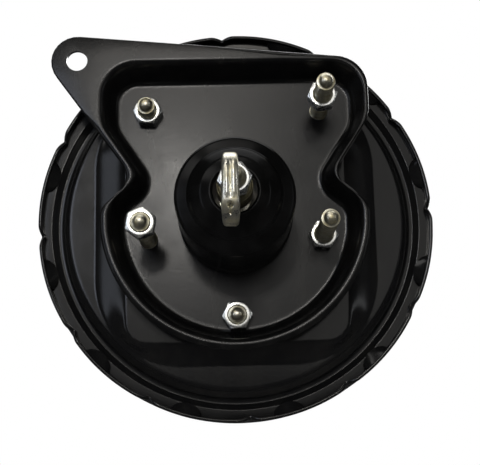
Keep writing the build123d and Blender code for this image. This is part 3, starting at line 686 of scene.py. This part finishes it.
def keyhole():
    right = [(dish["half"], dish["top"], dish["corner"]), (dish["half"], dish["side"], dish["corner"])]
    right.append((*dish["waist"], dish["waistRound"]))
    left = [(-x, z, r) for x, z, r in right[::-1]]
    return rounded(right + lowerCircle(dish["circle"], dish["arc"]) + left, dish["arcSteps"], True)


def lipOutline():
    top, side = math.radians(lip["topSlope"]), math.radians(lip["sideSlope"])
    normals = Vector((-math.sin(top), math.cos(top))) + Vector((math.sin(side), -math.cos(side)))
    ear = Vector(lip["ear"]) + normals * (lip["earRound"] / (1 - math.cos(top - side)))
    wide = dish["half"] + dish["draft"] + lip["cornerOut"]
    neck = dish["waistRound"] - dish["draft"]
    low = ear + Vector((math.cos(side), math.sin(side))) * lip["sideLength"]
    corners = [
        (ear.x, ear.y, lip["earRound"]),
        (wide, ear.y + math.tan(top) * (wide - ear.x), dish["corner"] + dish["draft"]),
        (wide, dish["side"], dish["corner"]),
        (dish["waist"][0] + dish["draft"] + lip["neckOut"], dish["waist"][1], neck),
    ]
    corners += lowerCircle(dish["circle"] + dish["draft"] + lip["out"], lip["arc"])
    return rounded(corners + [(low.x, low.y, neck)], lip["arcSteps"], True)


def spaced(line, gap):
    points = []
    for p, q in zip(line, line[1:] + line[:1]):
        count = max(1, math.ceil((q - p).length / gap))
        points += [p.lerp(q, k / count) for k in range(count)]
    return points


def reachOut(p, way, outline):
    # distance from p along way to the outline
    best = 1e9
    for a, b in zip(outline, outline[1:] + outline[:1]):
        run = b - a
        cross = way.x * run.y - way.y * run.x
        if abs(cross) < 1e-9:
            continue
        gap = a - p
        along = (gap.x * run.y - gap.y * run.x) / cross
        share = (gap.x * way.y - gap.y * way.x) / cross
        if 0 < along < best and -1e-6 <= share <= 1 + 1e-6:
            best = along
    return best


def bent(start, middle, end, steps=7):
    # a bend from start to end that is drawn towards middle
    shares = [k / steps for k in range(steps + 1)]
    return [start.lerp(middle, share).lerp(middle.lerp(end, share), share) for share in shares]


def bracketRows(reach):
    # (outward, y) points from the floor's front, up the wall, over the lip and back under the floor
    draft, depth, sheet = dish["draft"], dish["depth"], dish["sheet"]
    flange = reach - draft
    wide = limited((flange - lip["narrow"]) / lip["widening"])
    roll, drop = (a + (b - a) * wide for a, b in zip(lip["roll"], lip["earRoll"]))
    roll = min(roll, 0.5 * flange)
    bend = min(dish["bend"], 0.5 * flange)
    footBend, backBend = dish["footBend"], dish["backBend"]
    top, low = Vector((draft, 0)), Vector((dish["foot"], depth))
    wall = (low - top).normalized()
    rows = [Vector((dish["hem"], depth))] + bent(low + Vector((-footBend, 0)), low, low - wall * footBend)
    steps = dish["wallSteps"]
    rows += [(low - wall * footBend).lerp(top + wall * bend, k / steps) for k in range(1, steps)]
    rows += bent(top + wall * bend, top, top + Vector((bend, 0)))
    for k in range(lip["rollSteps"] + 1):
        angle = math.pi / 2 * (1 - k / lip["rollSteps"])
        rows.append(Vector((reach - roll * (1 - math.cos(angle)), drop * (1 - math.sin(angle)))))
    under, outer = Vector((draft + sheet, 0)), Vector((sheet, depth + sheet))
    back = (outer - under).normalized()
    seam = under + back * (sheet / back.y)
    inset, edge = lip["bevel"]
    rows += [Vector((reach, sheet - edge)), Vector((reach - inset, sheet - 0.1))]
    rows += [Vector((reach - edge, sheet)), Vector((max(seam.x + 0.05, reach - 0.6), sheet)), seam]
    rows += bent(outer - back * backBend, outer, outer + Vector((-backBend, 0)))
    return rows + [Vector((dish["hem"], depth + sheet))]


def bracketMesh():
    inner = spaced(keyhole(), dish["gap"])
    edge = spaced(lipOutline(), lip["gap"])
    count = len(inner)
    columns = []
    for k, p in enumerate(inner):
        along = inner[(k + 1) % count] - inner[k - 1]
        way = Vector((-along.y, along.x)).normalized()
        columns.append([(p + way * g, y) for g, y in bracketRows(reachOut(p, way, edge))])
    rows = len(columns[0])
    points = [Vector((p.x, y, p.y)) * mm for row in zip(*columns) for p, y in row]
    faces = grid(rows, count)
    faces += [tuple(range(count)), tuple(range((rows - 1) * count, rows * count))]
    return meshPiece("bracket", points, faces, "black_enamel", "root", bracketEnamel)


def drill(piece, places):
    # cuts round holes (x, z, radius) through the piece along Y
    cutter = bmesh.new()
    for x, z, radius in places:
        middle = Matrix.Translation(Vector((x, holes["middle"], z)) * mm)
        place = middle @ Matrix.Rotation(math.pi / 2, 4, "X")
        sizes = {"radius1": radius * mm, "radius2": radius * mm, "depth": holes["depth"] * mm}
        bmesh.ops.create_cone(cutter, cap_ends=True, segments=holes["segments"], matrix=place, **sizes)
    tool = bpy.data.meshes.new("drill")
    cutter.to_mesh(tool)
    bit = bpy.data.objects.new("drill", tool)
    bpy.context.collection.objects.link(bit)
    cut = piece.modifiers.new("holes", "BOOLEAN")
    cut.operation, cut.solver, cut.object = "DIFFERENCE", "EXACT", bit
    made = bpy.data.meshes.new_from_object(piece.evaluated_get(bpy.context.evaluated_depsgraph_get()))
    piece.modifiers.clear()
    piece.data = made
    bpy.data.objects.remove(bit)
    made.shade_smooth()
    made.set_sharp_from_angle(angle=math.radians(34))


bracket = bracketMesh()
studHoles = [(x, z, holes["stud"]) for x, z in holes["studs"]]
drill(bracket, [(*lip["ear"], holes["ear"]), (0, 0, holes["boot"])] + studHoles)
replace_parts(bracket, "mounting_bracket")
print("bracket", len(bracket.data.vertices))


# boot: a ribbed foot in the bracket's hole, a plain sleeve, a stepped nose and a round mouth
boot = {
    "wall": 25.6, "bead": 26.0, "groove": 25.5, "lining": 23.4, "foot": 22.9, "top": 14.7,
    "mouth": 9.2, "mouthSpan": (-42.4, -40.4), "noseAt": -33.6, "liningEnds": (-32, 8),
    "beads": ((13.2, 11.9), (10.1, 8.9), (7.1, 5.9)), "grooves": ((11.4, 10.6), (8.4, 7.6)),
    "ribTop": 13.6, "ribEnd": 5.3, "levels": (-10, -20, -30), "around": 128,
    "nose": ((20.0, -35.6, 1.2), (18.6, -38.6, 1.6), (14.5, -41.9, 5), (10.0, -43.55, 0.9)),
    "inside": ((13, -39.4, 3), (18.2, -32.4, 1)),
}


def bootLine():
    ribs = [(boot["bead"], y, 0.3) for bead in boot["beads"] for y in bead]
    ribs += [(boot["groove"], y, 0.2) for groove in boot["grooves"] for y in groove]
    ribs.sort(key=lambda corner: -corner[1])
    foot, wall, lining, mouth = boot["foot"], boot["wall"], boot["lining"], boot["mouth"]
    high, middle, low = boot["levels"]
    front, back = boot["mouthSpan"]
    liningFront, liningBack = boot["liningEnds"]
    line = [(foot, boot["top"], 0), (wall, boot["top"], 0.6), (wall, boot["ribTop"], 0.2)] + ribs
    line += [(wall - 0.05, boot["ribEnd"], 0.3), (wall - 0.2, high, 0), (wall - 0.3, middle, 0)]
    line += [(wall - 0.1, low, 0), (wall - 0.2, boot["noseAt"], 3.0), *boot["nose"]]
    line += [(mouth, front, 0.5), (mouth, back, 0.6), *boot["inside"]]
    line += [(lining, liningFront, 1.5), (lining, middle, 0), (lining, high, 0)]
    return line + [(lining, liningBack, 0.4), (foot, liningBack + 0.2, 0)]


sleeve = lathe("boot", bootLine(), "boot_rubber", None, boot["around"], arc=6)
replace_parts(sleeve, "boot")
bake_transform(sleeve)
print("boot")


# push rod: a threaded shaft with a stop and a ball, and a grooved collar in the boot's mouth
rod = {
    "end": -66.0, "thread": (-65.5, -52.0), "shaft": 4.0, "shaftFrom": -51.4,
    "stop": -21.0, "stopRadius": 7.0, "neck": 2.8, "neckFrom": 2.0,
    "ball": 4.5, "ballAt": 14.0, "ballFrom": 0.21, "ballSteps": 12,
}
collar = {
    "bore": 4.05, "radius": 7.4, "waist": 7.15, "front": -50.6, "lip": -50.2,
    "groove": (-47.4, -46.0), "end": -38.6,
}


def shaftLine():
    shaft, stop, wide = rod["shaft"], rod["stop"], rod["stopRadius"]
    line = [(shaft, rod["shaftFrom"]), (shaft, stop - 1.8), (wide - 0.2, stop - 1.6), (wide, stop - 1.3)]
    line += [(wide, stop - 0.2), (wide - 0.2, stop), (shaft, stop + 0.2), (shaft, 0)]
    line.append((rod["neck"], rod["neckFrom"]))
    for k in range(1, rod["ballSteps"] + 1):
        angle = math.pi * (rod["ballFrom"] + (1 - rod["ballFrom"]) * k / rod["ballSteps"])
        line.append((rod["ball"] * math.sin(angle), rod["ballAt"] - rod["ball"] * math.cos(angle)))
    return line


def collarLine():
    bore, wide, waist, front = collar["bore"], collar["radius"], collar["waist"], collar["front"]
    low, high = collar["groove"]
    end = collar["end"]
    line = [(bore, front, 0), (5.2, front, 0.4), (5.6, collar["lip"], 0.3), (6.6, collar["lip"], 0.3)]
    line += [(6.8, front, 0.3), (wide, front, 0.5), (wide, low, 0.2), (waist, low + 0.3, 0.2)]
    return line + [(waist, high - 0.3, 0.2), (wide, high, 0.2), (wide, end, 0.8), (bore, end, 0)]


tail = [(0, rod["end"]), (3.0, rod["end"]), (3.4, rod["end"] + 0.4)]
shaft = threadedLine("inputRod", "push_rod", (0, 0), *rod["thread"], tail, shaftLine(), rodPlate)
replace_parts(shaft, "input_rod")
ring = lathe("rodCollar", collarLine(), "yellow_zinc", "push_rod", 72, arc=4, finish=collarPlate)
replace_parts(ring, "rod_collar")


# rod end: a strip bent round the bushing, as the hull of two circles (y, z, radius) with a worn front
eye = {
    "eye": (-76.5, -12.0, 9.45), "heel": (-77.6, -3.0, 8.95), "hole": 6.0, "edge": 1.4, "aside": -1.6,
    "halfWidths": ((-22, 2.85), (-18.5, 3.3), (-15, 3.5), (-10, 3.3), (0, 3.1), (7, 2.75)),
    "directions": 720, "cell": 0.35, "across": 40, "inwards": (0.1, 0.5, 0.93, 1.0), "boreBevel": 0.25,
}
eyeWear = {
    "from": -13, "to": 5.2, "fade": 2, "ridge": 0.34, "ridgeAt": 1.3, "ridgeWide": 0.7, "seam": 0.4,
    "seamWide": 0.32, "pitX": -0.1, "pitZ": -15.4, "pit": 3.4, "pitWide": 0.9, "slit": 1.2,
    "slitWide": 0.28, "slitZ": -19.0, "slitFade": 0.5,
}
shank = [
    (0, -64.05, 0), (4.7, -64.05, 0.3), (4.7, -65.5, 0.6), (3.4, -69.0, 1.0), (2.6, -74, 0.5), (0, -75, 0),
]
bushing = [(5.0, -2.9, 0.3), (6.3, -2.9, 0.3), (6.3, 2.9, 0.3), (5.0, 2.9, 0.3)]


def eyeOutline(angle):
    # the furthest point of the two circles in one direction, and that direction
    way = Vector((math.cos(angle), math.sin(angle)))
    best = max((eye["eye"], eye["heel"]), key=lambda c: Vector(c[:2]).dot(way) + c[2])
    return Vector(best[:2]) + way * best[2], way


def ramp(value, stops):
    # straight-line values between (place, value) stops
    if value <= stops[0][0]:
        return stops[0][1]
    for (low, a), (high, b) in zip(stops, stops[1:]):
        if value <= high:
            return a + (b - a) * (value - low) / (high - low)
    return stops[-1][1]


def bell(value, wide):
    return math.exp(-(value / wide) ** 2)


def wear(x, z, front):
    # how deep the strip's face is worn at x across it: two ridges, a seam, and a pit with a slit
    look = eyeWear
    run = limited((z - look["from"]) / look["fade"]) * limited((look["to"] - z) / look["fade"])
    seam = look["seam"] * bell(x, look["seamWide"])
    ridge = look["ridge"] * bell(abs(x) - look["ridgeAt"], look["ridgeWide"])
    aside = x - look["pitX"]
    pit = look["pit"] * bell(aside ** 2 + (z - look["pitZ"]) ** 2, look["pitWide"])
    along = limited((look["pitZ"] - z) / look["slitFade"]) * limited((z - look["slitZ"]) / look["slitFade"])
    slit = look["slit"] * along * bell(aside, look["slitWide"])
    return run * front ** 2 * (seam - ridge) + front * (pit + slit)


def eyeLine():
    outline = [eyeOutline(math.tau * k / eye["directions"]) for k in range(eye["directions"])]
    line = []
    for (p, way), (q, _) in zip(outline, outline[1:] + outline[:1]):
        count = max(1, int((q - p).length / eye["cell"]))
        line += [(p.lerp(q, k / count), way) for k in range(count)]
    return line


def eyeLoop(p, way):
    # one slice of the strip: across its face, then in to the bushing's hole on each side and back
    half = ramp(p.y, eye["halfWidths"])
    soft = eye["edge"]
    loop = []
    for k in range(eye["across"] + 1):
        x = -half + 2 * half * k / eye["across"]
        over = max(0, abs(x) - (half - soft))
        depth = soft - math.sqrt(max(0, soft ** 2 - over ** 2))
        loop.append((x, p - way * (depth + wear(x, p.y, max(0, -way.x)))))
    middle = Vector(eye["eye"][:2])
    edge = p - way * soft
    inner = middle + (p - middle).normalized() * eye["hole"]
    for side, shares in ((1, eye["inwards"]), (-1, eye["inwards"][::-1])):
        for share in shares:
            sink = eye["boreBevel"] if share == 1.0 else 0
            loop.append((side * (half - sink), edge.lerp(inner, share)))
    return loop


loops = [eyeLoop(p, way) for p, way in eyeLine()]
points = [Vector((x + eye["aside"], q.x, q.y)) * mm for loop in loops for x, q in loop]
faces = grid(len(loops), len(loops[0]), True)
head = meshPiece("rodEnd", points, faces, "yellow_zinc", "push_rod", rodPlate, 60)
lathe("rodEndShank", shank, "yellow_zinc", "push_rod", 64, closed=False)
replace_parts(head, "rod_end")
line = rounded(bushing, 3, True)
place = Vector((eye["aside"], *eye["eye"][:2])) * mm
points = [place + Vector((p.y, p.x, p.z)) for p in turned(line, 64)]
tube = meshPiece("eyeBushing", points, grid(len(line), 64, True), "machined_steel", "push_rod")
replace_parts(tube, "eye_bushing")
print("push rod")


# springs: coils of round wire, with the span their ends touch
coils = {
    "returnSpring": {"wire": 3.2, "turns": 5, "span": (29.0, 86.9), "radii": (20.5, 22.5), "z": 0},
    "poppetSpring": {"wire": 1.0, "turns": 4, "span": (-10.5, 3.7), "radii": (8.2, 8.2), "z": 0},
    "rodSpring": {"wire": 1.2, "turns": 3, "span": (-21.0, -11.5), "radii": (5.9, 10.0), "z": 0},
    "checkSpring": {"wire": 0.6, "turns": 3, "span": (89.8, 98.0), "radii": (2.9, 2.9), "z": 39},
}
coilSteps = {"perTurn": 48, "around": 12}


def coil(name, body, replaced):
    look = coils[name]
    around = coilSteps["around"]
    count = int(look["turns"] * coilSteps["perTurn"])
    start, end = look["span"][0] + look["wire"] / 2, look["span"][1] - look["wire"] / 2
    climb = (end - start) / (math.tau * look["turns"])
    points = []
    for i in range(count + 1):
        share = i / count
        radius = look["radii"][0] + (look["radii"][1] - look["radii"][0]) * share
        angle = math.tau * look["turns"] * share
        out = Vector((math.cos(angle), 0, math.sin(angle)))
        middle = out * radius + Vector((0, start + (end - start) * share, look["z"]))
        along = Vector((-math.sin(angle) * radius, climb, math.cos(angle) * radius)).normalized()
        side = along.cross(out)
        for k in range(around):
            swing = math.tau * k / around
            spoke = out * math.cos(swing) + side * math.sin(swing)
            points.append((middle + spoke * look["wire"] / 2) * mm)
    faces = grid(count + 1, around)
    faces += [tuple(range(around))[::-1], tuple(range(count * around, (count + 1) * around))]
    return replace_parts(meshPiece(name, points, faces, "spring_steel", body, sharp=60), replaced)


mainSpring = coil("returnSpring", "root", "return_spring")
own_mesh(mainSpring)
coil("poppetSpring", "piston", "poppet_spring")
plungerSpring = coil("rodSpring", "piston", "rod_spring")
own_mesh(plungerSpring)
discSpring = coil("checkSpring", "root", "check_valve_spring")
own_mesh(discSpring)


# diaphragm: flat over the plate, one rolled fold, and a bead that the two shells hold
membrane = {
    "sheet": 1.6, "inner": 30.0, "middle": 50.0, "flat": 24.0, "fold": (73.3, 83.0), "crest": 42.0,
    "bead": (87.6, 90.7), "shelf": 31.8, "beadFoot": 28.7,
}


def membraneLine():
    sheet, flat, crest, shelf = membrane["sheet"], membrane["flat"], membrane["crest"], membrane["shelf"]
    inner, middle = membrane["inner"], membrane["middle"]
    foldIn, foldOut = membrane["fold"]
    beadIn, beadOut = membrane["bead"]
    line = [(inner, flat, 0), (middle, flat, 0), (foldIn + sheet, flat, 2.5)]
    line += [(foldIn + sheet, crest - sheet, 1.2), (foldOut - sheet, crest - sheet, 1.2)]
    line += [(foldOut - sheet, shelf, 1), (beadIn, shelf, 0.3)]
    line += [(beadIn, membrane["beadFoot"], 0.5), (beadOut, membrane["beadFoot"], 0.8)]
    line += [(beadOut, shelf + sheet, 0.8), (foldOut, shelf + sheet, 0.6), (foldOut, crest, 2.8)]
    line += [(foldIn, crest, 2.8), (foldIn, flat + sheet, 1.5)]
    return line + [(middle, flat + sheet, 0), (inner, flat + sheet, 0)]


rolled = lathe("diaphragm", membraneLine(), "boot_rubber", None, 128)
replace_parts(rolled, "diaphragm")
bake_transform(rolled)


# check valve: a flanged body that grips the grommet, and a nipple with three barbs
valve = {
    "z": 39, "bore": 3, "chamber": 4.6, "chamberSpan": (88, 98), "grip": 6.2, "flange": 11.45, "hub": 7.0,
    "back": 83.4, "hubSpan": (95, 99.6), "end": 117.95,
    "barbs": (102.5, 106.5, 110.5), "barb": (4.25, 4.98, 4.3),
}


def nippleLine():
    bore, grip, flange, hub = valve["bore"], valve["grip"], valve["flange"], valve["hub"]
    low, high = valve["hubSpan"]
    chamberLow, chamberHigh = valve["chamberSpan"]
    root, crest, slope = valve["barb"]
    line = [(bore, valve["back"], 0), (grip - 0.8, valve["back"], 0), (grip, valve["back"] + 1.5, 0)]
    line += [(grip, low - 2.05, 0), (flange, low - 1.95, 0.5), (flange, low, 0.5)]
    line += [(hub, low, 0.5), (hub, high, 0.5), (slope, high + 0.5, 0.3)]
    for y in valve["barbs"]:
        line += [(root, y, 0.2), (crest, y + 0.5, 0.1), (slope, y + 3.4, 0.2)]
    line += [(4.4, valve["end"] - 0.55, 0.3), (4.1, valve["end"], 0.2), (bore, valve["end"], 0)]
    line += [(bore, chamberHigh, 0), (valve["chamber"], chamberHigh, 0)]
    return line + [(valve["chamber"], chamberLow, 0), (bore, chamberLow, 0)]


nipple = lathe("checkValveBody", nippleLine(), "moulded_resin", "root", 64, centre=(0, valve["z"]), arc=3)
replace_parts(nipple, "check_valve_body")
print("springs, diaphragm and check valve")
